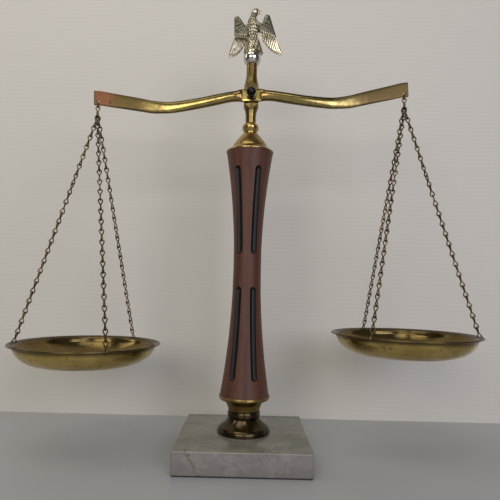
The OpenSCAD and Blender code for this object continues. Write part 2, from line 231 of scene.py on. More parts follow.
def outline(start, *runs, closed=True):
    """Joins smooth runs of (radius, height) in millimetres, each from where the last one ended.

    A closed outline goes back to its start along the start's radius.
    """
    points = [Vector(start)]
    if closed:
        runs += ([(start[0], runs[-1][-1][1])], [start])
    for run in runs:
        for point in run_through([points[-1], *run], 4) if len(run) > 1 else run:
            if (points[-1] - Vector(point)).length > 1e-4:
                points.append(Vector(point))
    return points


def turned(name, points, base=0.0, steps=128):
    """Turns an outline about the column's axis: one vertex drawn out along it, then spun round."""
    places = [Vector((p[0] * MM, 0, base + p[1] * MM)) for p in points]
    piece = made("plane", name, size=MM)
    edit(piece)
    bpy.ops.mesh.merge(type="CENTER")
    bpy.ops.transform.translate(value=places[0])
    for before, after in zip(places, places[1:]):
        bpy.ops.mesh.extrude_region_move(TRANSFORM_OT_translate={"value": after - before})
    bpy.ops.mesh.select_all(action="SELECT")
    bpy.ops.mesh.spin(steps=steps, angle=math.tau, center=(0, 0, 0), axis=(0, 0, 1))
    bpy.ops.mesh.select_all(action="SELECT")
    bpy.ops.mesh.remove_doubles(threshold=0.01 * MM)
    bpy.ops.mesh.normals_make_consistent(inside=False)
    leave_edit()
    return piece


def loft(name, rings):
    """A closed skin through rings of points, for forms whose section changes all along."""
    mesh = bpy.data.meshes.new(name)
    n = len(rings[0])
    faces = [
        (j * n + i, j * n + (i + 1) % n, (j + 1) * n + (i + 1) % n, (j + 1) * n + i)
        for j in range(len(rings) - 1)
        for i in range(n)
    ]
    faces.append(tuple(reversed(range(n))))
    faces.append(tuple((len(rings) - 1) * n + i for i in range(n)))
    mesh.from_pydata([tuple(p) for ring in rings for p in ring], [], faces)
    piece = bpy.data.objects.new(name, mesh)
    bpy.context.collection.objects.link(piece)
    return piece


def circle(sides):
    """Cosine and sine of evenly spaced angles over one turn."""
    return [(math.cos(math.tau * i / sides), math.sin(math.tau * i / sides)) for i in range(sides)]


def turn(degrees, axis):
    return Matrix.Rotation(math.radians(degrees), 4, axis)


def sized(x, y, z):
    return Matrix.Diagonal((x, y, z, 1))


def lerp(a, b, f):
    return [u + f * (v - u) for u, v in zip(a, b)]


def bulge(value, power):
    """A coordinate of an outline between an ellipse, power 2, and a rectangle, higher powers."""
    return math.copysign(abs(value) ** (2 / power), value)


def wire_along(name, points, radius, sides=8, cyclic=False):
    """A round wire along points, made as a curve with a bevel and turned into a mesh."""
    curve = bpy.data.curves.new(name, "CURVE")
    curve.dimensions = "3D"
    curve.bevel_depth = radius
    curve.bevel_resolution = max(sides // 2 - 2, 0)
    curve.use_fill_caps = not cyclic
    spline = curve.splines.new("POLY")
    spline.points.add(len(points) - 1)
    for spot, point in zip(spline.points, points):
        spot.co = (*point, 1)
    spline.use_cyclic_u = cyclic
    piece = bpy.data.objects.new(name, curve)
    bpy.context.collection.objects.link(piece)
    pick(piece)
    bpy.ops.object.convert(target="MESH")
    return added(name)


# Materials

class Wire:
    """A socket in a material, on which sums and products add Math nodes."""

    def __init__(self, finish, socket):
        self.finish = finish
        self.socket = socket

    def math(self, operation, *others):
        return self.finish.add("ShaderNodeMath", {"operation": operation}, [self, *others])

    def __add__(self, other):
        return self.math("ADD", other)

    __radd__ = __add__

    def __mul__(self, other):
        return self.math("MULTIPLY", other)

    __rmul__ = __mul__

    def __sub__(self, other):
        return self.math("SUBTRACT", other)

    def __rsub__(self, other):
        return self.finish.add("ShaderNodeMath", {"operation": "SUBTRACT"}, [other, self])

    def __pow__(self, other):
        return self.math("POWER", other)

    def size(self):
        return self.math("ABSOLUTE")

    def between(self, start, end):
        """Runs from 0 at start to 1 at end, and stays there."""
        settings = {"Value": self, "From Min": start, "From Max": end}
        return self.finish.add("ShaderNodeMapRange", {"interpolation_type": "SMOOTHSTEP"}, settings)


class Finish:
    """A material built around one Principled shader."""

    def __init__(self, name, **shader):
        self.material = bpy.data.materials.new(name)
        self.material.use_nodes = True
        self.tree = self.material.node_tree
        self.shader = self.tree.nodes["Principled BSDF"]
        self.set(**shader)

    def feed(self, socket, value):
        if isinstance(value, Wire):
            self.tree.links.new(value.socket, socket)
        elif hasattr(value, "__len__") and len(value) == 3 and socket.type == "RGBA":
            socket.default_value = (*value, 1)
        else:
            socket.default_value = value

    def add(self, kind, settings=None, inputs=(), output=0):
        """Adds a node of a kind, with its settings, then the values or links of its sockets."""
        node = self.tree.nodes.new(kind)
        for key, value in (settings or {}).items():
            setattr(node, key, value)
        pairs = inputs.items() if isinstance(inputs, dict) else enumerate(inputs)
        for key, value in pairs:
            self.feed(node.inputs[key], value)
        return Wire(self, node.outputs[output])

    def place(self, kind="Object"):
        """The Object coordinates of the surface, in metres."""
        return self.add("ShaderNodeTexCoord", output=kind)

    def scaled(self, size, angles=(0, 0, 0)):
        """Object coordinates, stretched by a size for each axis."""
        settings = {"Vector": self.place(), "Scale": size, "Rotation": [math.radians(a) for a in angles]}
        return self.add("ShaderNodeMapping", {}, settings)

    def axis(self, letter, kind="Object"):
        """The place of the surface along an axis of its object, in metres."""
        node = self.add("ShaderNodeSeparateXYZ", {}, [self.place(kind)])
        return Wire(self, node.socket.node.outputs[letter])

    def facing(self, letter):
        """How far the surface faces along an axis of its object, from -1 to 1."""
        return self.axis(letter, "Normal")

    def noise(self, scale, detail=3.0, roughness=0.55, distortion=0.0, at=None):
        settings = {"Scale": scale, "Detail": detail, "Roughness": roughness, "Distortion": distortion}
        return self.add("ShaderNodeTexNoise", {}, {"Vector": at or self.place(), **settings})

    def layers(self, colour, *coats):
        """Lays coats of (factor, colour) over a colour, one after another."""
        for factor, coat in coats:
            sockets = {0: factor, 6: colour, 7: coat}
            colour = self.add("ShaderNodeMix", {"data_type": "RGBA"}, sockets, output=2)
        return colour

    def bump(self, height, distance, strength=1.0):
        """A bump of a distance in millimetres, which feeds the shader's normal."""
        settings = {"Height": height, "Distance": distance * MM, "Strength": strength}
        self.set(Normal=self.add("ShaderNodeBump", {}, settings))

    def clear_behind(self):
        """Leaves the back of a sheet clear, so that the balance shows from behind or below the stage."""
        back = self.add("ShaderNodeNewGeometry", output="Backfacing")
        clear = self.add("ShaderNodeBsdfTransparent")
        mix = self.add("ShaderNodeMixShader", {}, [back, Wire(self, self.shader.outputs["BSDF"]), clear])
        self.feed(self.tree.nodes["Material Output"].inputs["Surface"], mix)

    def set(self, **sockets):
        for key, value in sockets.items():
            self.feed(self.shader.inputs[key.replace("_", " ")], value)
        return self.material


TURNED = (8, 8, 1100)
DRAWN = (14, 1100, 1100)
ROUND = (700, 700, 700)


def brass(name, bright, dull, spot, polish, wear=0.5, spots=0.62, grain=ROUND):
    """Aged brass: bright metal under a dull film with darker spots, and fine lines left by the tools."""
    finish = Finish(name, Metallic=1.0)
    film = finish.noise(38, 4, 0.6).between(wear - 0.16, wear + 0.16)
    cloud = finish.noise(130, 5, 0.7)
    speck = cloud.between(spots, spots + 0.07)
    colour = finish.layers(bright, (film, dull), (speck * 0.8, spot))
    lines = finish.noise(1, 2, 0.5, at=finish.scaled(grain))
    finish.bump(lines + cloud * 0.6, 0.010, 0.5)
    return finish.set(
        Base_Color=colour, Roughness=film * 0.10 + speck * 0.16 + lines * 0.06 + polish,
    )


def beam_casting():
    """Beam brass: polished along the bends, tarnished on the flat ends, coppery at the left tip."""
    finish = Finish("beam_brass", Metallic=1.0)
    reach = finish.axis("X").size()
    cloud = finish.noise(90, 5, 0.65, 0.4)
    dull = (reach + cloud * 0.05).between(0.102, 0.150)
    # Painted shade by facing: the top is darkened most and every face but the underside somewhat, so the
    # underside keeps a painted light.
    top = finish.facing("Z").between(0.02, 0.36)
    lit_underside = finish.facing("Z").between(-0.85, -0.45)
    # A brown band on the arm roots next to the boss: painted shade where the arms meet it.
    brown = reach.between(0.0095, 0.0105) * (1 - (reach + cloud * 0.008).between(0.016, 0.024))
    tip = finish.axis("X") + cloud * 0.02
    copper = tip.between(-0.156, -0.151) * (1 - tip.between(-0.143, -0.128))
    speck = finish.noise(260, 4, 0.7).between(0.60, 0.68)
    lines = finish.noise(1, 2, 0.5, at=finish.scaled(DRAWN))
    colour = finish.layers(
        (0.47, 0.375, 0.14),
        (cloud.between(0.35, 0.7), (0.31, 0.235, 0.085)), (dull, (0.118, 0.084, 0.036)),
        (top * 0.88, (0.070, 0.053, 0.022)), ((1 - lit_underside) * 0.6, (0.105, 0.082, 0.032)),
        (brown * 0.8, (0.24, 0.13, 0.055)), (copper * 0.8, (0.25, 0.105, 0.065)),
        (speck * 0.6, (0.09, 0.065, 0.03)),
    )
    finish.bump(lines + cloud * 0.5, 0.012, 0.5)
    return finish.set(
        Base_Color=colour, Roughness=dull * 0.26 + copper * 0.06 + speck * 0.15 + lines * 0.06 + 0.15,
    )


def spun_pan():
    """Spun sheet: rings left by the tool, a film with spots, the inside darkened brown as painted shade,
    scratches outside.
    """
    finish = Finish("pan_brass", Metallic=1.0, Anisotropic=0.8, Anisotropic_Rotation=0.25)
    across = finish.axis("X").size() - PAN_REACH
    deep = finish.axis("Y") - JOINTS["left_sway"].y
    radius = (across * across + deep * deep) ** 0.5
    ring = (radius * (math.tau / (0.55 * MM))).math("SINE")
    cloud = finish.noise(34, 5, 0.62, 0.8)
    film = cloud.between(0.38, 0.66)
    speck = finish.noise(210, 5, 0.7).between(0.58, 0.66)
    streak = finish.noise(1, 3, 0.6, at=finish.scaled((30, 30, 420))).between(0.5, 0.75)
    # Faces that look upwards, the inside of the pan, are darkened brown: painted shade.
    inside = finish.facing("Z").between(0.0, 0.2)
    lip = radius.between(0.0672, 0.0688)
    colour = finish.layers(
        (0.66, 0.49, 0.165),
        (film, (0.50, 0.36, 0.115)), (inside * 0.86, (0.150, 0.104, 0.045)),
        (streak * 0.4, (0.20, 0.13, 0.05)), (speck * 0.75, (0.06, 0.042, 0.02)),
        (lip * 0.8, (0.075, 0.055, 0.030)),
    )
    finish.bump(ring + cloud * 0.15, 0.016)
    return finish.set(
        Base_Color=colour, Roughness=film * 0.08 + speck * 0.2 + streak * 0.08 + lip * 0.18 + 0.13,
    )


def marble():
    """White stone with soft grey clouds, fine veins and one brown vein across the front left."""
    finish = Finish("marble", Specular_IOR_Level=0.5)
    warp = finish.noise(9, 4, 0.6, 1.2)
    cloud = finish.noise(16, 6, 0.62, 0.8, at=finish.scaled((1, 1.9, 2.6), (20, 10, 35))).between(0.35, 0.7)
    fine = (finish.noise(22, 5, 0.6, 2.2, at=finish.scaled((1, 2.2, 1), (0, 0, 28))) - 0.5).size()
    vein = 1 - fine.between(0.0, 0.035)
    line = finish.axis("X") + finish.axis("Z") * 0.62 + warp * 0.012
    front = 1 - finish.axis("Y").between(-0.058, -0.035)
    brown = 1 - (line + 0.0312).size().between(0.0003, 0.0020)
    brown = brown * finish.noise(140, 3).between(0.34, 0.50) * front
    chip_up = finish.axis("Z") - (high("marble_base") - 0.0031)
    chip = ((finish.axis("X") + 0.0474) ** 2 + chip_up * chip_up) ** 0.5
    chip = (1 - chip.between(0.0003, 0.0012)) * front
    wisp = (finish.noise(15, 4, 0.6, 1.4, at=finish.scaled((1, 1, 1.6), (0, 35, 0))) - 0.55).size()
    wisp = 1 - wisp.between(0.0, 0.07)
    # Faces that look up take a lighter, greener copy of the stone's colours: painted light on the top.
    above = finish.facing("Z").between(0.2, 0.98)
    # A light line along the upper bevels: painted highlight, with some rubbed wear.
    wear_and_highlight = above.between(0.0, 0.3) * (1 - above.between(0.5, 0.95))
    colour = finish.layers(
        (0.215, 0.197, 0.190),
        (cloud * 0.8, (0.165, 0.150, 0.146)),
        (above, finish.layers((0.245, 0.238, 0.20), (cloud * 0.9, (0.15, 0.15, 0.125)))),
        (wisp * 0.17, (0.42, 0.40, 0.37)), (vein * 0.3, (0.12, 0.122, 0.105)),
        (brown * 0.6, (0.115, 0.100, 0.055)), (chip * 0.8, (0.035, 0.033, 0.030)),
        (wear_and_highlight * 0.6, (0.42, 0.40, 0.35)),
    )
    return finish.set(Base_Color=colour, Roughness=cloud * 0.06 + vein * 0.05 + 0.13)


def walnut():
    """Lacquered red-brown wood: grain along the column, pores, and faint rings left by the lathe."""
    finish = Finish("walnut", Specular_IOR_Level=0.3)
    figure = finish.noise(1, 5, 0.6, 0.6, at=finish.scaled((150, 150, 9))).between(0.3, 0.72)
    pore = finish.noise(1, 3, 0.7, at=finish.scaled((900, 900, 45))).between(0.55, 0.72)
    ring = finish.noise(1, 2, 0.8, at=finish.scaled((6, 6, 1400)))
    colour = finish.layers(
        (0.108, 0.042, 0.026),
        (figure, (0.066, 0.025, 0.016)), (pore * 0.6, (0.030, 0.013, 0.009)),
        (ring.between(0.35, 0.7) * 0.3, (0.140, 0.066, 0.047)),
    )
    finish.bump(ring - pore * 0.5, 0.04, 0.5)
    return finish.set(Base_Color=colour, Roughness=ring * 0.16 + pore * 0.1 + 0.34)


def lacquer():
    """Satin black in the flutes, a little thin in places."""
    finish = Finish("flute_lacquer", Specular_IOR_Level=0.25)
    wear_and_highlight = finish.noise(220, 4, 0.6).between(0.6, 0.8)
    colour = finish.layers((0.008, 0.008, 0.010), (wear_and_highlight * 0.5, (0.03, 0.022, 0.02)))
    return finish.set(Base_Color=colour, Roughness=wear_and_highlight * 0.2 + 0.34)


def felt():
    finish = Finish("felt", Roughness=1.0, Sheen_Weight=0.3)
    fuzz = finish.noise(2600, 4, 0.8)
    finish.bump(fuzz, 0.25, 0.8)
    return finish.set(Base_Color=finish.layers((0.012, 0.016, 0.013), (fuzz, (0.035, 0.042, 0.034))))


def plated(name, bright, dull, polish):
    """Warm nickel plate, bright on what stands out and dark in the hollows."""
    finish = Finish(name, Metallic=1.0)
    hollow = finish.add(
        "ShaderNodeAmbientOcclusion", {"samples": 8, "only_local": True},
        {"Distance": 0.8 * MM}, output="AO",
    )
    dark = 1 - hollow.between(0.3, 0.8)
    cloud = finish.noise(420, 4, 0.6)
    colour = finish.layers(bright, (cloud.between(0.4, 0.65), dull), (dark * 0.9, (0.045, 0.04, 0.03)))
    finish.bump(cloud, 0.03, 0.5)
    return finish.set(Base_Color=colour, Roughness=dark * 0.3 + cloud * 0.1 + polish)


def zinc():
    finish = Finish("zinc_steel", Metallic=1.0)
    spangle = finish.noise(420, 3, 0.6)
    colour = finish.layers((0.52, 0.53, 0.55), (spangle, (0.68, 0.68, 0.70)))
    return finish.set(Base_Color=colour, Roughness=spangle * 0.2 + 0.25)


def paint(colour):
    """Plain satin floor."""
    finish = Finish("floor_paint", Roughness=0.32)
    finish.clear_behind()
    return finish.set(Base_Color=colour)


def board(colour):
    """White board behind the balance, with faint ribs along it."""
    finish = Finish("wall_board", Roughness=0.7)
    cloud = finish.noise(7, 3, 0.5)
    rib = (finish.axis("Z") * (math.tau / (5.5 * MM)) + cloud * 2).math("SINE")
    shade = cloud * 0.2 + rib * 0.06 + 0.06
    finish.clear_behind()
    return finish.set(Base_Color=finish.layers(colour, (shade, [c * 0.84 for c in colour])))


FINISHES = {}


def make_finishes():
    FINISHES.update(
        marble=marble(), walnut=walnut(), flute=lacquer(), felt=felt(), steel=zinc(),
        nickel=plated("nickel_plate", (0.68, 0.62, 0.49), (0.36, 0.33, 0.24), 0.12),
        ball_nickel=plated("nickel_ball", (0.66, 0.64, 0.60), (0.60, 0.57, 0.52), 0.03),
        # Lighter and darker copies of the nickel plate, for painted light and painted shade on the bird.
        bright_nickel=plated("bright_nickel", (0.82, 0.76, 0.62), (0.60, 0.55, 0.43), 0.14),
        dim_nickel=plated("dim_nickel", (0.46, 0.42, 0.31), (0.22, 0.20, 0.14), 0.16),
        dark_nickel=plated("dark_nickel", (0.24, 0.23, 0.175), (0.115, 0.108, 0.08), 0.26),
        beam_brass=beam_casting(), pan_brass=spun_pan(),
        brass=brass(
            "aged_brass", (0.50, 0.345, 0.125), (0.27, 0.185, 0.065), (0.07, 0.05, 0.02),
            0.17, 0.5, 0.64, TURNED,
        ),
        bronze=brass(
            "dark_bronze", (0.080, 0.060, 0.034), (0.058, 0.044, 0.025), (0.03, 0.022, 0.014),
            0.16, 0.45, 0.68, TURNED,
        ),
        post_brass=brass(
            "post_brass", (0.26, 0.185, 0.074), (0.17, 0.118, 0.044), (0.07, 0.045, 0.02),
            0.20, 0.52, 0.68, TURNED,
        ),
        chain_wire=brass(
            "chain_brass", (0.24, 0.175, 0.085), (0.10, 0.072, 0.04), (0.03, 0.022, 0.014), 0.30, 0.45,
        ),
        knob=brass(
            "black_knob", (0.045, 0.04, 0.04), (0.02, 0.018, 0.018), (0.10, 0.07, 0.04), 0.16, 0.5, 0.70,
        ),
    )


# The stand

def length_of(name, description, size):
    """A length property with its default in millimetres."""
    return bpy.props.FloatProperty(name=name, description=description, default=size * MM, unit="LENGTH")


class BalanceSizes(bpy.types.PropertyGroup):
    """Sizes of the pieces that are remade around the frame."""

    wire: length_of("Wire", "Diameter of the chain wire", 1.3)
    links: bpy.props.IntProperty(name="Links", description="Links in a chain", default=23, min=2)
    loop: length_of("Loop", "Mean radius of a link's loop", 2.05)
    hook_loop: length_of("Hook loop", "Mean radius of a hanger's lower loop", 2.9)
    flutes: bpy.props.IntProperty(name="Flutes", description="Flutes in each row", default=6, min=3)
    pan_wall: length_of("Pan wall", "Thickness of the spun sheet", 1.0)
    tilt: bpy.props.FloatProperty(
        name="Tilt", description="Tilt of the resting beam", default=math.radians(2.9), subtype="ANGLE"
    )


class BalanceColours(bpy.types.PropertyGroup):
    """Colours of the stage."""

    wall: bpy.props.FloatVectorProperty(
        name="Wall", description="Colour of the backdrop", default=(0.66, 0.64, 0.60), subtype="COLOR"
    )
    floor: bpy.props.FloatVectorProperty(
        name="Floor", description="Colour of the floor", default=(0.43, 0.44, 0.46), subtype="COLOR"
    )


class Builder:
    """Runs an operator's build with the sizes of the scene."""

    def execute(self, context):
        self.build(context.scene.balance_sizes)
        return {"FINISHED"}


def turn_stand(edge, *pieces):
    """Turns pieces of the stand, each from its name, node, slot and outline."""
    for name, node, slot, points in pieces:
        hand_in(turned(name, points, low(node)), "stand", slot, node, edge=edge)


# In millimetres: radii of the bores, the ball's middle above its seat, half the height of the pivot block
ROD_HOLE = 3.25
BORE = 3.2
CAP_BORE = 3.3
STUD_HOLE = 2.1
BALL_SEAT = 7
BLOCK_HALF = 9.5

# The bearing that the first pair of flutes lies beside, in degrees
FLUTE_START = -94


class BALANCE_OT_base(Builder, bpy.types.Operator):
    """Marble base with edges rounded by wear and a painted highlight along the upper bevels, counterbored
    and drilled
    """

    bl_idname = "balance.base"
    bl_label = "Base"

    def build(self, sizes):
        bottom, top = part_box("marble_base")
        block = made("cube", "marble_block", size=1, location=(bottom + top) / 2)
        block.scale = top - bottom
        settle(dress(block, "marble"))
        bevel(block, 0.9, 3)
        for name, sides, radius, depth in (("counterbore", 64, 12, 18), ("rod_hole", 48, ROD_HOLE, 60)):
            cut(block, made(
                "cylinder", name, vertices=sides, radius=radius * MM, depth=depth * MM,
                location=(0, 0, bottom.z),
            ))
        hand_in(block, "stand", "marble", "marble_base", angle=30)


class BALANCE_OT_foot(Builder, bpy.types.Operator):
    """Bell-shaped foot, bead and brass cup under the column"""

    bl_idname = "balance.foot"
    bl_label = "Foot"

    def build(self, sizes):
        flange = outline(
            (BORE, 0), [(25.8, 0)],
            [(26.4, 0.35), (26.5, 1.1), (26.4, 2.0)], [(26.2, 3.3), (25.5, 4.8), (24.2, 6.2)],
            [(22.5, 7.4), (20.4, 9.1), (18.4, 11), (16.8, 12.8), (15.4, 14.6)],
        )
        bead = outline(
            (BORE, 1.8), [(14.9, 1.8)],
            [(15.9, 2.4), (16.4, 3.8), (16.55, 5.55), (16.4, 7.3), (15.9, 8.7), (14.9, 9.3)],
        )
        cup = outline(
            (BORE, 0), [(15.6, 0)],
            [(16.2, 2), (17.1, 4.5), (18.1, 6.4), (19.4, 8), (21.6, 9.5), (24.2, 10.7)],
            [(25.2, 11.4), (25.75, 12.6), (25.8, 13.6), (25.75, 14.3), (25.4, 14.7)],
            [(25.08, 14.5)], [(25.05, 13.5)],
        )
        turn_stand(
            0.12, ("bell_foot", "foot_flange", "bronze", flange), ("foot_bead", "foot_ring", "bronze", bead),
            ("column_cup", "lower_cup", "brass", cup),
        )


class BALANCE_OT_column(Builder, bpy.types.Operator):
    """Waisted wood column with two rows of black flutes"""

    bl_idname = "balance.column"
    bl_label = "Column"

    waist_up: length_of("Waist", "Height of the waist above the bottom end", 132.2)
    waist: length_of("Waist radius", "Radius at the waist", 14.3)
    foot_end: length_of("Bottom radius", "Radius of the bottom end", 25.0)
    cap_end: length_of("Top radius", "Radius of the top end", 24.4)
    cutter: length_of("Cutter", "Radius of the flute cutter", 3.6)
    rows = ((-111 * MM, -25 * MM), (15.5 * MM, 98.5 * MM))

    def arc(self, length, end):
        """Radius of the arc from the waist to one end."""
        swell = end - self.waist
        return (length**2 + swell**2) / (2 * swell)

    def build(self, sizes):
        bottom, length = low("wood_column"), high("wood_column") - low("wood_column")
        waist_z = bottom + self.waist_up
        arcs = self.arc(self.waist_up, self.foot_end), self.arc(length - self.waist_up, self.cap_end)
        steps = 90
        points = [(CAP_BORE, 0)]
        for k in range(steps + 1):
            z = bottom + length * k / steps
            r = arcs[z > waist_z]
            radius = self.waist + r - math.sqrt(r**2 - (z - waist_z) ** 2)
            points.append((radius / MM, (z - bottom) / MM))
        points += [(CAP_BORE, length / MM), (CAP_BORE, 0)]
        column = dress(turned("column", points, bottom, 144), "walnut")
        steps = 28
        for r, (start, end) in zip(arcs, self.rows):
            bends = [math.asin((start + (end - start) * k / steps) / r) for k in range(steps + 1)]
            path = [
                Vector((self.waist + r - (r - MM) * math.cos(a), 0, waist_z + (r - MM) * math.sin(a)))
                for a in bends
            ]
            for i in range(sizes.flutes):
                side = turn(FLUTE_START + (i + 0.5) * 360 / sizes.flutes, "Z")
                cut(column, self.groove([side @ p for p in path]))
        bevel(column, 0.25, 2, 40)
        hand_in(column, "stand", "walnut", "wood_column")

    def groove(self, path):
        """A ball-ended rod along the flute."""
        rod = dress(wire_along("groove", path, self.cutter, 24), "flute")
        for end in (path[0], path[-1]):
            ball = made(
                "uv_sphere", "groove_end", segments=32, ring_count=16, radius=self.cutter, location=end
            )
            cut(rod, settle(ball), "UNION")
        return rod


class BALANCE_OT_cap(Builder, bpy.types.Operator):
    """Domed cap and bead above the column"""

    bl_idname = "balance.cap"
    bl_label = "Cap and collar"

    def build(self, sizes):
        dome = outline(
            (CAP_BORE, 0), [(24.6, 0)], [(24.95, 0.25), (25, 0.75), (24.95, 1.25), (24.5, 1.5)],
            [(22.9, 2.5), (21, 3.4), (19.5, 4.5), (18.7, 5.7)],
            [(18.1, 7.3), (17.2, 9), (15.8, 11.2), (14, 13.7), (11.9, 16.3), (9.8, 18.8), (7.8, 21)],
        )
        collar = outline(
            (CAP_BORE, 0), [(6.8, 0)], [(6.8, 1.3)],
            [(7.2, 2.6), (8.2, 4.3), (8.7, 6.4), (8.5, 8.2), (7.5, 9.8), (5.9, 11.2)],
        )
        turn_stand(
            0.1, ("dome_cap", "top_cap", "brass", dome),
            ("collar_bead", "neck_collar", "brass", collar),
        )


class BALANCE_OT_post(Builder, bpy.types.Operator):
    """Turned post with its square pivot block, and the screw with the ball knob"""

    bl_idname = "balance.post"
    bl_label = "Pivot post"

    def build(self, sizes):
        bottom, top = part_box("pivot_post")
        length = (top.z - bottom.z) / MM
        middle = (PIVOT.z - bottom.z) / MM
        below, above = middle - BLOCK_HALF, middle + BLOCK_HALF
        points = outline(
            (BORE, 0), [(5.54, 0)],
            [
                (5.54, below - 9.5), (5.9, below - 6.5), (6.5, below - 3.6), (7.6, below - 1.2),
                (9, below + 0.5), (10.4, below + 1.8), (10.6, middle), (10.4, above - 1), (9.2, above + 1.6),
                (8.1, above + 4.2), (7.2, above + 6.8), (6.6, above + 9.6), (6.1, above + 12.2),
                (5.7, above + 16), (5.54, length),
            ],
            [(STUD_HOLE, length)], [(STUD_HOLE, length - 11)], [(0, length - 11)], [(0, 14)],
        )
        post = dress(turned("post", points, bottom.z), "post_brass")
        square = made("cube", "mill", size=1, location=(0, 0, (bottom.z + top.z) / 2))
        square.scale = mm(15.2, 14, 2 * length)
        cut(post, settle(square), "INTERSECT")
        bevel(post, 0.22, 2, 28)
        hand_in(post, "stand", "brass", "pivot_post", angle=30)
        self.screw()

    def screw(self):
        front = -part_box("pivot_screw")[0].y / MM
        points = outline(
            (0, -2.8), [(2, -2.8)], [(2, 11.3)], [(4.3, 11.3)], [(4.25, 12.4), (3.9, 14), (3.7, 14.9)],
            closed=False,
        )
        ball, neck, steps = 5.05, 3.6, 24
        start = math.asin(neck / ball)
        for k in range(steps + 1):
            a = math.pi - start - (math.pi - start) * k / steps
            points.append(Vector((ball * math.sin(a), front - ball + ball * math.cos(a))))
        points[-1].x = 0
        screw = turned("knob_screw", points, 0, 64)
        screw.data.transform(Matrix.Translation((0, 0, PIVOT.z)) @ turn(90, "X"))
        hand_in(screw, "stand", "knob", "pivot_screw", edge=0.15)


def ball_size():
    """Radius of the finial's ball and height of its upper flat above the middle, in millimetres."""
    bottom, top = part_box("finial_ball")
    return (top.x - bottom.x) / 2 / MM, (top.z - bottom.z) / MM - BALL_SEAT


class BALANCE_OT_finial(Builder, bpy.types.Operator):
    """Polished ball under the bird"""

    bl_idname = "balance.finial"
    bl_label = "Finial"

    def build(self, sizes):
        radius, flat = ball_size()
        start, end = -math.asin(BALL_SEAT / radius), math.asin(flat / radius)
        bends = [start + (end - start) * k / 40 for k in range(41)]
        arc = [(radius * math.cos(a), radius * math.sin(a)) for a in bends]
        points = [(STUD_HOLE, -BALL_SEAT), *arc, (STUD_HOLE, flat), (STUD_HOLE, -BALL_SEAT)]
        ball = turned("ball", points, low("finial_ball") + BALL_SEAT * MM, 96)
        bevel(ball, 0.2)
        hand_in(dress(ball, "ball_nickel"), "stand", "nickel", "finial_ball")


# The bird, in millimetres above the ball's flat

BIRD_BODY = (
    (-4, 0.3, 0.1, 9.3, 9.1), (-2, 0.7, 0.2, 9.6, 8.9), (0.8, 0.9, 0.4, 9.2, 8.2), (4, 0.8, 0.5, 8.4, 7.1),
    (7.3, 0.7, 0.4, 7.5, 6.3), (12, 0.5, 0.2, 6, 5.5), (16, 0.4, 0, 5.1, 5.1), (20, 0.4, -0.4, 5.1, 5.3),
    (25, 0.5, -1, 5.8, 6), (29, 0.4, -1.2, 6, 6.2), (33, 0, -0.8, 5.1, 5.3), (36.5, -0.2, -0.3, 3.7, 4.3),
    (38.8, 0.2, -0.2, 3.1, 3.7), (40.6, 0.8, -0.4, 3.2, 3.8), (42, 1.6, -0.6, 4.1, 4.2),
    (43.6, 2, -0.7, 4.3, 4.3), (45.4, 2.6, -0.7, 3.8, 3.9), (46.8, 3.1, -0.6, 2.7, 2.9),
    (47.7, 3.3, -0.6, 1, 1.2),
)
# The right wing's feathers take the lit copy of the nickel and the left wing's the shaded copy: painted
# light and shade.
BIRD_WINGS = {
    "left": {
        "lobes": (
            (-17.3, 36.8, 3.3), (-17.6, 18.4, 2.4), (-6.5, 19.5, 2.5), (-9, 24.6, 3.5), (-3.5, 29.4, 3.6),
        ),
        "tips": ((-25, -6.1), (-7.2, 10)), "feathers": (-7, "dim_nickel"),
    },
    "right": {
        "lobes": (
            (15.4, 39.4, 3.3), (23, 17.8, 2.4), (8.6, 24.4, 2.5), (11.5, 26, 3.5), (6.5, 30.4, 3.4),
        ),
        "tips": ((32, -2.4), (9.5, 15.4)), "feathers": (13, "bright_nickel"),
    },
}
# Half the outline of a long feather's section, where the wings lie, and where the breast faces in degrees
PLUME_FRONT = ((-1, 0), (-0.75, -0.35), (-0.35, -0.85), (0, -1.15), (0.35, -0.85), (0.75, -0.35))
PLUME_SECTION = PLUME_FRONT + tuple((-x, -y) for x, y in PLUME_FRONT)
WING_Y = 1.6
BREAST = 282


def body_at(z):
    """Centre and half sizes of the bird's body at a height: x, y, half width, half depth."""
    for a, b in zip(BIRD_BODY, BIRD_BODY[1:]):
        if z <= b[0]:
            return lerp(a, b, (z - a[0]) / (b[0] - a[0]))[1:]
    return BIRD_BODY[-1][1:]


def on_body(z, angle, sink=0.0):
    """A place on the body's skin, with its X axis across, Y outwards and Z up the skin."""
    spots = []
    for height in (z + 0.5, z):
        x, y, w, d = body_at(height)
        spots.append(Vector((x + (w - sink) * math.cos(angle), y + (d - sink) * math.sin(angle), height)))
    across = Vector((-w * math.sin(angle), d * math.cos(angle), 0)).normalized()
    up = (spots[0] - spots[1]).normalized()
    out = across.cross(up).normalized()
    return Matrix.Translation(spots[1]) @ Matrix((across, out, up)).transposed().to_4x4()


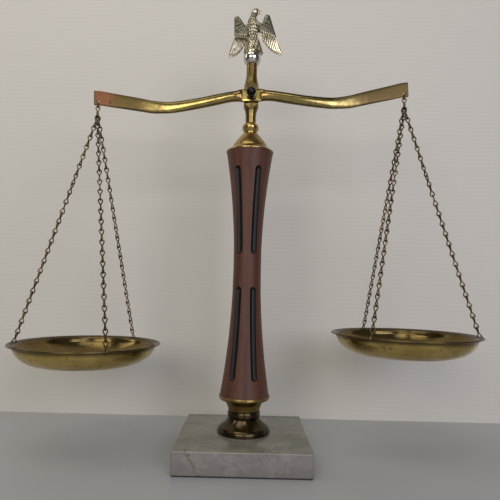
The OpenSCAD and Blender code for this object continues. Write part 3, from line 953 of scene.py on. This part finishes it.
class BALANCE_OT_bird(Builder, bpy.types.Operator):
    """Cast bird with raised wings, its head turned to the right"""

    bl_idname = "balance.bird"
    bl_label = "Bird"

    def build(self, sizes):
        pieces = [self.body(), self.scales(), self.beak(), self.face(), self.tail()]
        for side in BIRD_WINGS:
            pieces += self.wing(side, *BIRD_WINGS[side].values())
        bird = joined("cast_bird", pieces)
        bird.data.transform(Matrix.Translation((0, 0, high("finial_ball"))) @ Matrix.Scale(MM, 4))
        hand_in(bird, "stand", "nickel", "eagle", angle=50)

    def body(self):
        """The body, with room for the ball, cut flat at the top, and for the stud."""
        body = dress(loft("body", [
            [Vector((x + w * c, y + d * s, z)) for c, s in circle(48)]
            for z, x, y, w, d in run_through(BIRD_BODY, 4)
        ]), "nickel")
        radius, flat = ball_size()
        ball = settle(made(
            "uv_sphere", "ball_room", segments=64, ring_count=32, radius=radius + 0.1, location=(0, 0, -flat)
        ))
        cut(ball, made("cube", "below", size=4 * radius, location=(0, 0, -2 * radius)), "INTERSECT")
        stud = made("cylinder", "stud_room", vertices=32, radius=2.05, depth=13)
        return cut(cut(body, ball), stud)

    def leaf(self, name, finish="nickel", segments=8, rings=6):
        """A small domed feather, one unit wide, thick and long, with its root at the top."""
        leaf = made("uv_sphere", name, segments=segments, ring_count=rings, radius=0.5)
        for vertex in leaf.data.vertices:
            vertex.co.x *= 1 - 0.25 * max(vertex.co.z, 0)
            vertex.co.z -= 0.42
        return dress(leaf, finish)

    def scales(self):
        """Rows of small feathers over the neck, breast and legs, larger ones round the skirt."""
        # Low rows take the shaded copy of the nickel, and the neck rows under the head the deep-shade copy:
        # painted shade.
        rows = [(z, 3.7, 4.4, 1.8, "nickel" if z > 5 else "dim_nickel") for z in (0.6, 3.8, 6.9, 9.9)]
        rows += [(12.8 + 3.1 * k, 3.2, 4.2, 2.0, "nickel" if k > 2 else "dim_nickel") for k in range(6)]
        rows += [(31 + 2.4 * k, 2.4, 3.3, 1.2, "nickel") for k in range(3)]
        rows += [(37.5 + 1.5 * k, 1.7, 2.6, 0.9, "dark_nickel") for k in range(3)]
        places = {"nickel": [], "dim_nickel": [], "dark_nickel": []}
        for j, (z, width, length, thick, finish) in enumerate(rows):
            across, deep = body_at(z)[2:]
            count = round(math.pi * (across + deep) / width)
            for i in range(count):
                angle = math.tau * (i + (j % 2) / 2) / count
                under_wing = 14 < z < 32 and abs(math.cos(angle)) > 0.9
                if not under_wing:
                    # Scales that face away from the breast take the shaded copy: painted shade on the body's
                    # sides.
                    ahead = abs(angle - math.radians(BREAST)) < math.radians(42)
                    kind = finish if ahead or finish != "nickel" else "dim_nickel"
                    seat = on_body(z + 1, angle, 0.25)
                    places[kind].append(seat @ turn(9, "X") @ sized(width, thick, length))
        return joined("feathers", [
            scattered(f"{kind}_feathers", self.leaf("body_leaf", kind), spots)
            for kind, spots in places.items()
        ])

    def tube(self, name, path):
        """A closed skin round a path of (place, across, deep) that runs in the XZ plane."""
        spots = run_through([(*p, a, d) for p, a, d in path], 4)
        rings = []
        for i, spot in enumerate(spots):
            way = Vector(spots[min(i + 1, len(spots) - 1)][:3]) - Vector(spots[max(i - 1, 0)][:3])
            across = Vector((0, 1, 0)).cross(way).normalized()
            rings.append([
                Vector(spot[:3]) + across * spot[3] * c + Vector((0, spot[4] * s, 0)) for c, s in circle(20)
            ])
        return turn_out(dress(loft(name, rings), "nickel"))

    def beak(self):
        upper = self.tube("upper_beak", (
            ((3.4, -1.2, 43.9), 2.4, 2.2), ((5.6, -1.6, 43.8), 2.0, 1.8), ((7.3, -2.0, 43.2), 1.6, 1.3),
            ((8.5, -2.3, 42.0), 1.1, 0.9), ((8.9, -2.4, 40.7), 0.6, 0.5), ((8.8, -2.4, 39.8), 0.12, 0.12),
        ))
        lower = self.tube("lower_beak", (
            ((3.4, -1.2, 42.3), 1.2, 1.7), ((5.4, -1.6, 42.0), 1.0, 1.3), ((7.0, -1.9, 41.4), 0.6, 0.8),
            ((7.7, -2.0, 41.0), 0.15, 0.2),
        ))
        return joined("beak", [upper, lower])

    def face(self):
        """Eyes under brows, one on each side of the head."""
        pieces = []
        for slant, facing in ((18, 255), (-18, 100)):
            seat = on_body(44.2, math.radians(facing))
            over_eye = Matrix.Translation((0, 0.1, 0.95)) @ turn(slant, "Y") @ sized(1.7, 0.7, 0.42)
            for name, radius, place in (("eye", 0.62, seat), ("brow", 1, seat @ over_eye)):
                piece = dress(made("uv_sphere", name, segments=16, ring_count=10, radius=radius), "nickel")
                piece.data.transform(place)
                pieces.append(piece)
        return joined("face", pieces)

    def plume(self, name, length, width, thick, place, finish="nickel"):
        """A long feather from its root to a rounded tip, with a raised shaft and thin edges."""
        sides = 9
        rings = []
        for k in range(sides + 1):
            f = k / sides
            swell = math.sqrt(max(1 - max((f - 0.72) / 0.28, 0) ** 2, 0.02))
            swell *= 0.72 + 0.28 * min(f / 0.45, 1)
            rings.append([
                Vector((x * width / 2 * swell, y * thick / 2 * (1 - 0.45 * f), -f * length))
                for x, y in PLUME_SECTION
            ])
        plume = turn_out(dress(loft(name, rings), finish))
        plume.data.transform(place)
        return plume

    def hang(self, root, tip, y, twist=0.0):
        """Where a feather lies that hangs from root to tip, both [x, z]."""
        lean = math.atan2(root[0] - tip[0], root[1] - tip[1])
        return Matrix.Translation((root[0], y, root[1])) @ Matrix.Rotation(lean, 4, "Y") @ turn(twist, "Z")

    def tail(self):
        pieces = []
        for k in range(-2, 3):
            place = Matrix.Translation((0.5 + 0.6 * k, 5.0 - 0.2 * abs(k), 14))
            place = place @ turn(24, "X") @ turn(-7 * k, "Y")
            pieces.append(self.plume("tail_plume", 19.5 - abs(k), 3.6, 1.3, place))
        return joined("tail", pieces)

    def wing(self, side, lobes, tips, feathers):
        """Arm, nine long feathers, and rows of short ones on both faces."""
        wrist, outer, inner, elbow, shoulder = lobes
        twist, finish = feathers
        pieces = [
            self.arm(f"{side}_arm_0", (wrist, outer, elbow)),
            self.arm(f"{side}_arm_1", (outer, inner, elbow, shoulder)),
        ]
        last = 8
        for k in range(last + 1):
            f = k / last
            tip = lerp(*tips, f)
            tip[1] -= 4.8 * math.sin(math.pi * f)
            root = lerp(lerp(outer[:2], inner[:2], f), tip, -0.12)
            place = self.hang(root, tip, WING_Y + 0.4 - 0.12 * k, twist)
            pieces.append(self.plume("plume", math.dist(root, tip) + 0.8, 3.1 - 0.6 * f, 2.3, place, finish))
        for face in (-1, 1):
            leaf = self.leaf(f"{side}_secondary", finish, 10, 8)
            places = []
            for k in range(7):
                tip = lerp(*tips, k / 6)
                start = lerp(lerp(outer[:2], inner[:2], k / 6), tip, -0.08)
                spot = self.hang(start, tip, WING_Y + face * 1.9, twist)
                places.append(spot @ turn(8 * face, "X") @ sized(1.7, 1.5, 7.4))
            pieces.append(scattered(f"{side}_secondaries", leaf, places))
            # The short feathers on the wing's faces take the deep-shade copy of the nickel: painted shade.
            leaf = self.leaf(f"{side}_covert", "dark_nickel")
            places = []
            for j in range(7):
                g = j / 7
                ends = lerp(wrist[:2], outer[:2], g), lerp(shoulder[:2], inner[:2], g)
                for k in range(6):
                    f = (k + (j % 2) / 2) / 5.5
                    spot = lerp(*ends, f)
                    spot[1] -= 5 * math.sin(math.pi * f) * (1 - g)
                    place = self.hang(spot, lerp(*tips, f), WING_Y + face * (2.0 - 0.4 * g))
                    places.append(place @ turn(10 * face, "X") @ sized(2.5, 1.2, 3.9))
            pieces.append(scattered(f"{side}_coverts", leaf, places))
        return pieces

    def arm(self, name, lobes):
        """The wing's arm: a skin stretched over round lobes."""
        balls = []
        for x, z, radius in lobes:
            ball = made(
                "uv_sphere", "lobe", segments=32, ring_count=16, radius=radius, location=(x, WING_Y, z)
            )
            ball.scale.y = 0.6
            balls.append(settle(ball))
        arm = joined(name, balls)
        edit(arm)
        bpy.ops.mesh.convex_hull()
        leave_edit()
        # The arm takes the deep-shade copy of the nickel: painted shade.
        return dress(arm, "dark_nickel")


# The balance

ARM_STATIONS = (
    (9, 0, 13.6, 5.5), (12, 0, 13, 7.6), (16, -0.5, 11.6, 8.8), (23, -1.2, 11.1, 9), (34, -3.2, 11.4, 8.8),
    (57, -7.4, 11.4, 8), (79, -10.4, 11.8, 6.6), (90, -10.8, 12.2, 5.6), (103, -9.8, 13.4, 4.7),
    (116, -7.2, 14.1, 3.9), (131, -4.2, 14.5, 3.2), (145, -1.5, 15, 2.7), (157, 1, 15.3, 2.4),
    (165, 1.8, 15.4, 2.4),
)


class BALANCE_OT_beam(Builder, bpy.types.Operator):
    """Cast beam: flat boss and two swan-neck arms that flatten towards their ends"""

    bl_idname = "balance.beam"
    bl_label = "Beam"

    def arm(self, side):
        rings = []
        for reach, rise, thick, deep in run_through(ARM_STATIONS, 6):
            power = 2 + 3.5 * (reach / ARM_STATIONS[-1][0]) ** 3
            rings.append([
                mm(SIDES[side] * reach, bulge(c, power) * deep / 2, rise + bulge(s, power) * thick / 2)
                for c, s in circle(40)
            ])
        return loft(f"{side}_arm", rings)

    def build(self, sizes):
        boss = made("cube", "boss", size=1)
        boss.scale = mm(19.5, 4, 13.2)
        settle(dress(boss, "beam_brass"))
        bevel(boss, 0.45, 3)
        for arm in (self.arm("right"), turn_out(self.arm("left"))):
            bevel(arm, 0.35, 2, 50)
            cut(boss, arm, "UNION")
        for x, z, radius in ((0, 0, 2.05), (-160.75, -2.6, 1.6), (160.75, -2.6, 1.6)):
            cut(boss, settle(made(
                "cylinder", "hole", vertices=40, radius=radius * MM, depth=12 * MM, location=mm(x, 0, z),
                rotation=(math.radians(90), 0, 0),
            )))
        boss.data.transform(Matrix.Translation(PIVOT) @ Matrix.Rotation(-sizes.tilt, 4, "Y"))
        boss.name = "beam_casting"
        hand_in(boss, "beam", "beam_brass", "beam", angle=32)


def half_link(loop, reach, neck=0.35 * MM, steps=18):
    """Half of a twisted link's centre line: up one leg, round the loop and down the other leg."""
    centre = reach - loop
    lean = math.asin(loop / math.hypot(centre, neck)) - math.atan2(neck, centre)
    points = [Vector((neck, 0, 0))]
    for k in range(steps + 1):
        a = -lean + (math.pi + 2 * lean) * k / steps
        points.append(Vector((loop * math.cos(a), 0, centre + loop * math.sin(a))))
    points.append(Vector((-neck, 0, 0)))
    return points


def twisted_link(name, top, top_reach, bottom, bottom_reach, wire):
    """One closed wire bent into two loops at right angles, about a middle at the origin."""
    over = turn(90, "Z") @ turn(180, "X")
    lower = [over @ p for p in half_link(bottom, bottom_reach)]
    return wire_along(name, half_link(top, top_reach) + lower, wire / 2, 8, cyclic=True)


class BALANCE_OT_hangers(Builder, bpy.types.Operator):
    """Jump rings through the beam and the long links below them"""

    bl_idname = "balance.hangers"
    bl_label = "Hangers"

    low_reach: length_of("Hook reach", "From the long link's middle to the end of its lower loop", 6.4)

    def build(self, sizes):
        for side in SIDES:
            bottom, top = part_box(f"{side}_hanger_ring")
            middle = (bottom + top) / 2
            mean = (top.z - bottom.z - sizes.wire) / 2
            start = math.radians(2)
            bends = [start + (math.tau - 2 * start) * k / 47 for k in range(48)]
            points = [middle + Vector((0, mean * math.cos(a), mean * math.sin(a))) for a in bends]
            ring = wire_along(f"{side}_jump_ring", points, sizes.wire / 2, 12)
            hand_in(ring, f"{side}_ring", "chain_wire", f"{side}_hanger_ring", angle=50)
            bottom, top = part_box(f"{side}_hanger_link")
            top_reach = top.z - bottom.z - sizes.wire - self.low_reach
            link = twisted_link(
                f"{side}_long_link", sizes.loop, top_reach, sizes.hook_loop, self.low_reach, sizes.wire
            )
            middle.z = bottom.z + sizes.wire / 2 + self.low_reach
            link.data.transform(Matrix.Translation(middle))
            hand_in(link, f"{side}_hanger", "chain_wire", f"{side}_hanger_link", angle=60)


# Bearings of the chains at each pan, and of the seats in a hanger's loop, in degrees
HOOK_ANGLES = {"left": (182, -58, 64), "right": (-7, -131, 111)}
SEAT_ANGLE = 56
RIM_INSET = 1.15 * MM
RIM_DROP = 0.55 * MM
WIRE_PLAY = 0.05 * MM
STRAIGHT_LINKS = 5


class BALANCE_OT_chains(Builder, bpy.types.Operator):
    """Six jack chains from the hangers to the rims of the pans"""

    bl_idname = "balance.chains"
    bl_label = "Chains"

    def build(self, sizes):
        for side in SIDES:
            for seat, bearing in enumerate(HOOK_ANGLES[side]):
                self.chain(sizes, side, seat, math.radians(bearing))

    def chain(self, sizes, side, seat, rim_bearing):
        """Straight from its loop of the hanger to its hole, its links turning from one to the other."""
        gap = sizes.wire + WIRE_PLAY
        hook = JOINTS[f"{side}_sway"]
        pan_low, pan_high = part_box(f"{side}_pan")
        rim = (pan_high.x - pan_low.x) / 2 - RIM_INSET
        foot = Vector((
            hook.x + rim * math.cos(rim_bearing), hook.y + rim * math.sin(rim_bearing), pan_high.z - RIM_DROP
        ))
        if seat == 0:
            middle = hook - Vector((0, 0, sizes.hook_loop))
            head = middle - gap * (foot - middle).normalized()
        else:
            b = math.radians(SEAT_ANGLE if seat == 2 else -SEAT_ANGLE)
            head = hook + (sizes.hook_loop - gap) * Vector((0, math.sin(b), -math.cos(b)))
        way = foot - head
        slope = math.acos(-way.z / way.length)
        bearing = math.atan2(way.y, way.x)
        pitch = (way.length + sizes.loop - gap) / sizes.links
        reach = (pitch + gap) / 2
        quarter = math.pi / 2
        aim = (quarter + bearing + quarter) % math.pi - quarter
        link = twisted_link("link", sizes.loop, reach, sizes.loop, reach, sizes.wire)
        line = Matrix.Translation(head) @ Matrix.Rotation(bearing, 4, "Z") @ Matrix.Rotation(-slope, 4, "Y")
        places = []
        for k in range(sizes.links):
            share = min(max(k / STRAIGHT_LINKS - 1, 0), 1)
            roll = Matrix.Rotation(share * aim - bearing, 4, "Z")
            places.append(line @ Matrix.Translation((0, 0, -reach - k * pitch)) @ roll)
        name = f"{side}_{SEATS[seat]}_chain"
        chain = scattered(f"{name}_links", link, places)
        hand_in(chain, f"{side}_pan_set", "chain_wire", name, angle=60)


PAN_CURVE = (
    (0, -1), (0.3, -0.995), (0.53, -0.97), (0.66, -0.905), (0.77, -0.765), (0.848, -0.575),
    (0.900, -0.36), (0.919, -0.20), (0.929, -0.12), (0.945, -0.065), (1, 0),
)


class BALANCE_OT_pans(Builder, bpy.types.Operator):
    """Spun pans with an out-turned rim and three holes each"""

    bl_idname = "balance.pans"
    bl_label = "Pans"

    radius: length_of("Radius", "Radius of a pan over its rim", 73)
    depth: length_of("Depth", "Depth of a pan inside", 21)
    holes: length_of("Holes", "Radius of the circle of holes in the rim", 69.6)

    def build(self, sizes):
        inside = [Vector((p[0] * self.radius, p[1] * self.depth)) for p in run_through(PAN_CURVE, 6)]
        outside = []
        for i, point in enumerate(inside):
            along = inside[min(i + 1, len(inside) - 1)] - inside[max(i - 1, 0)]
            outside.append(point + sizes.pan_wall * Vector((along.y, -along.x)).normalized())
        outside[0].x = 0
        edge = (inside[-1] + outside[-1]) / 2 + Vector((0.22 * MM, 0))
        points = [p / MM for p in inside + [edge] + outside[::-1]]
        for side in SIDES:
            hook = JOINTS[f"{side}_sway"]
            pan = dress(turned(f"{side}_spun_pan", points, 0, 192), "pan_brass")
            for angle in HOOK_ANGLES[side]:
                place = turn(angle, "Z") @ Vector((self.holes, 0, -0.7 * MM))
                cut(pan, settle(made(
                    "cylinder", "hole", vertices=32, radius=1.3 * MM, depth=5 * MM, location=place
                )))
            pan.data.transform(Matrix.Translation((hook.x, hook.y, high(f"{side}_pan"))))
            hand_in(pan, f"{side}_pan_set", "pan_brass", f"{side}_pan", angle=50)


class BALANCE_OT_hardware(Builder, bpy.types.Operator):
    """Finishes for the felt and the steel pieces inside, which keep their CAD shapes"""

    bl_idname = "balance.hardware"
    bl_label = "Felt and steel"

    def build(self, sizes):
        for node in ("felt_pad", "base_nut", "base_washer", "tie_rod", "finial_stud"):
            materials = frame["nodes"][node].data.materials
            materials.clear()
            materials.append(FINISHES["felt" if node == "felt_pad" else "steel"])


# The stage, in metres

WALL_Y = 0.138
STAGE_SIZE = 3


class BALANCE_OT_stage(bpy.types.Operator):
    """Pale floor and wall, soft lamps and the camera"""

    bl_idname = "balance.stage"
    bl_label = "Stage"

    def execute(self, context):
        colours = context.scene.balance_colours
        half = STAGE_SIZE / 2
        floor = settle(made("plane", "stage_floor", size=STAGE_SIZE, location=(0, WALL_Y - half, 0)))
        floor.data.materials.append(paint(colours.floor))
        wall = settle(made(
            "plane", "stage_wall", size=STAGE_SIZE, location=(0, WALL_Y, half),
            rotation=(math.radians(90), 0, 0),
        ))
        wall.data.materials.append(board(colours.wall))
        middle = mm(0, 0, 250)
        for name, bearing, rise, height, power, colour in (
            ("window_right", 27, 13, 0.85, 11.7, (0.90, 0.885, 1.0)),
            ("window_left", -17, 14, 0.75, 8.9, (1.0, 0.955, 0.82)),
        ):
            a, b = math.radians(bearing), math.radians(rise)
            way = Vector((math.sin(a) * math.cos(b), -math.cos(a) * math.cos(b), math.sin(b)))
            self.lamp(name, middle + 1.8 * way, middle, (0.95, height), power, colour)
        self.lamp("doorway", (-1.05, -0.14, 0.85), middle, (0.14, 0.7), 1.2, (1.0, 0.97, 0.86))
        self.lamp("ceiling", (-0.38, -0.4, 1.1), (-0.3, -0.2, 0), (0.45, 0.45), 1.5, (1.0, 0.94, 0.80))
        self.lamp("ceiling_front", (0.06, -0.6, 1.15), (0, 0, 0.3), (0.3, 0.3), 0.9, (1.0, 0.96, 0.86))
        world = bpy.data.worlds.new("dim_room")
        world.use_nodes = True
        sockets = world.node_tree.nodes["Background"].inputs
        sockets["Color"].default_value = (0.95, 0.92, 0.9, 1)
        sockets["Strength"].default_value = 0.10
        context.scene.world = world
        self.camera(context)
        context.scene.view_settings.view_transform = "Standard"
        return {"FINISHED"}

    def lamp(self, name, place, target, size, power, colour):
        light = bpy.data.lights.new(name, "AREA")
        light.shape = "RECTANGLE"
        light.size, light.size_y = size
        light.energy = power
        light.color = colour
        lamp = bpy.data.objects.new(name, light)
        bpy.context.collection.objects.link(lamp)
        lamp.location = place
        lamp.rotation_euler = (Vector(target) - Vector(place)).to_track_quat("-Z", "Y").to_euler()

    def camera(self, context):
        """The camera that was fitted to the photograph: its place, yaw, pitch and roll."""
        yaw, pitch, roll = (math.radians(a) for a in (0.12, 4.5, 1.34))
        ahead = Vector((-math.sin(yaw) * math.cos(pitch), math.cos(yaw) * math.cos(pitch), math.sin(pitch)))
        right = Vector((math.cos(yaw), math.sin(yaw), 0))
        up = right.cross(ahead)
        side = math.cos(roll) * right + math.sin(roll) * up
        top = math.cos(roll) * up - math.sin(roll) * right
        lens = bpy.data.cameras.new("camera")
        lens.sensor_width = 36
        lens.lens = 34.56
        camera = bpy.data.objects.new("camera", lens)
        bpy.context.collection.objects.link(camera)
        axes = Matrix((side, top, -ahead)).transposed().to_4x4()
        camera.matrix_world = Matrix.Translation(mm(3.5, -499.3, 167.5)) @ axes
        context.scene.camera = camera


OPERATORS = (
    BALANCE_OT_base, BALANCE_OT_foot, BALANCE_OT_column, BALANCE_OT_cap, BALANCE_OT_post,
    BALANCE_OT_finial, BALANCE_OT_bird, BALANCE_OT_beam, BALANCE_OT_hangers, BALANCE_OT_chains,
    BALANCE_OT_pans, BALANCE_OT_hardware, BALANCE_OT_stage,
)


class BALANCE_PT_panel(bpy.types.Panel):
    """Buttons for the balance's pieces"""

    bl_label = "Equal-arm balance"
    bl_idname = "BALANCE_PT_panel"
    bl_space_type = "VIEW_3D"
    bl_region_type = "UI"
    bl_category = "Balance"

    def draw(self, context):
        for operator in OPERATORS:
            self.layout.operator(operator.bl_idname)
        for group in (context.scene.balance_sizes, context.scene.balance_colours):
            for key in group.__annotations__:
                self.layout.prop(group, key)


CLASSES = (BalanceSizes, BalanceColours, *OPERATORS, BALANCE_PT_panel)


def register():
    for item in CLASSES:
        bpy.utils.register_class(item)
    bpy.types.Scene.balance_sizes = bpy.props.PointerProperty(type=BalanceSizes)
    bpy.types.Scene.balance_colours = bpy.props.PointerProperty(type=BalanceColours)


def unregister():
    del bpy.types.Scene.balance_colours
    del bpy.types.Scene.balance_sizes
    for item in reversed(CLASSES):
        bpy.utils.unregister_class(item)


def main():
    register()
    make_finishes()
    for operator in OPERATORS:
        group, name = operator.bl_idname.split(".")
        getattr(getattr(bpy.ops, group), name)()


if __name__ == "__main__":
    main()
